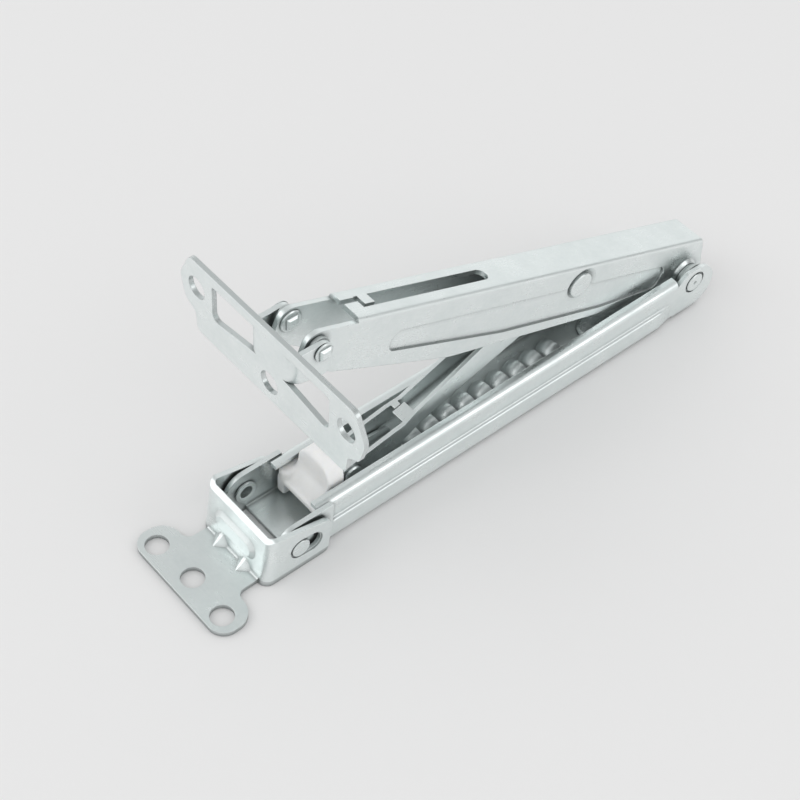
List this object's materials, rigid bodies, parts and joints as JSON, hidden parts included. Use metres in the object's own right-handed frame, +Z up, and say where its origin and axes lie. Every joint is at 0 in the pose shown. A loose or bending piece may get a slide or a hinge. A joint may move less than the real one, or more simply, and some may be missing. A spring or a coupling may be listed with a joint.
{
  "type": "folding table tilt bracket",
  "caption": "Sheet-steel tilt bracket: a toothed channel rail with a hinged lifting arm, ratchet strut, sliding block and two screw plates, shown part open.",
  "frame": {"origin": "middle of the rail floor's underside, where the rail lies on the surface", "axes": "+X along the rail from the foot plate to the hinge, +Y across the rail, +Z up out of the channel"},
  "size_m": [0.1983, 0.075, 0.0822],
  "materials": {
    "zinc_sheet": "bright zinc plated",
    "rivet_steel": "bright zinc plated, peened",
    "washer_steel": "zinc plated, turned",
    "spring_wire": "drawn wire",
    "white_nylon": "satin moulded"
  },
  "bodies": {
    "rail": {"base_rail": "zinc_sheet", "stop_rivet": "rivet_steel", "hinge_rivet": "rivet_steel"},
    "foot_pins": {"foot_pin_near": "rivet_steel", "foot_pin_far": "rivet_steel"},
    "foot": {"foot_bracket": "zinc_sheet"},
    "arm": {"upper_arm": "zinc_sheet", "hinge_spacer_near": "washer_steel", "hinge_spacer_far": "washer_steel", "hinge_washer_near": "washer_steel", "hinge_washer_far": "washer_steel", "strut_rivet": "rivet_steel", "plate_rivet_near": "rivet_steel", "plate_rivet_far": "rivet_steel"},
    "strut": {"strut_channel": "zinc_sheet", "strut_pin": "rivet_steel", "strut_spacer_near": "washer_steel", "strut_spacer_far": "washer_steel"},
    "block": {"glide_block": "white_nylon"},
    "pawl": {"ratchet_pawl": "zinc_sheet", "pawl_spring": "spring_wire"},
    "head_plate": {"top_plate": "zinc_sheet", "plate_spacer_near": "washer_steel", "plate_spacer_far": "washer_steel"}
  },
  "joints": [
    {"name": "arm_lift", "type": "hinge", "parent": "rail", "child": "arm", "pos_m": [0.07995, 0, 0.0117], "axis": [0, 1, 0], "range_deg": [-13.5, 33.8]},
    {"name": "strut_swing", "type": "hinge", "parent": "arm", "child": "strut", "pos_m": [0.03195, 0, 0.0359], "axis": [0, 1, 0], "range_deg": [-52, 21]},
    {"name": "block_level", "type": "hinge", "parent": "strut", "child": "block", "pos_m": [-0.05165, 0, 0.0115], "axis": [0, 1, 0], "range_deg": [-7.5, 18]},
    {"name": "pawl_lift", "type": "hinge", "parent": "block", "child": "pawl", "pos_m": [-0.05165, 0, 0.0115], "axis": [0, -1, 0], "range_deg": [0, 8], "stiffness_Nm_per_rad": 0.01, "springref_deg": -17.19},
    {"name": "foot_swing", "type": "hinge", "parent": "rail", "child": "foot_pins", "pos_m": [-0.07765, 0, 0.0087], "axis": [0, 1, 0], "range_deg": [-7.1, 25]},
    {"name": "foot_slide", "type": "slide", "parent": "foot_pins", "child": "foot", "axis": [-0.9923, 0, 0.1236], "range_m": [0, 0.004]},
    {"name": "plate_swing", "type": "hinge", "parent": "arm", "child": "head_plate", "pos_m": [-0.06687, 0, 0.07589], "axis": [0, -1, 0], "range_deg": [-111, 45]}
  ],
  "couplings": [
    {"joint": "strut_swing", "follows": "arm_lift", "ratio": -1.52},
    {"joint": "block_level", "follows": "arm_lift", "ratio": 0.52}
  ]
}
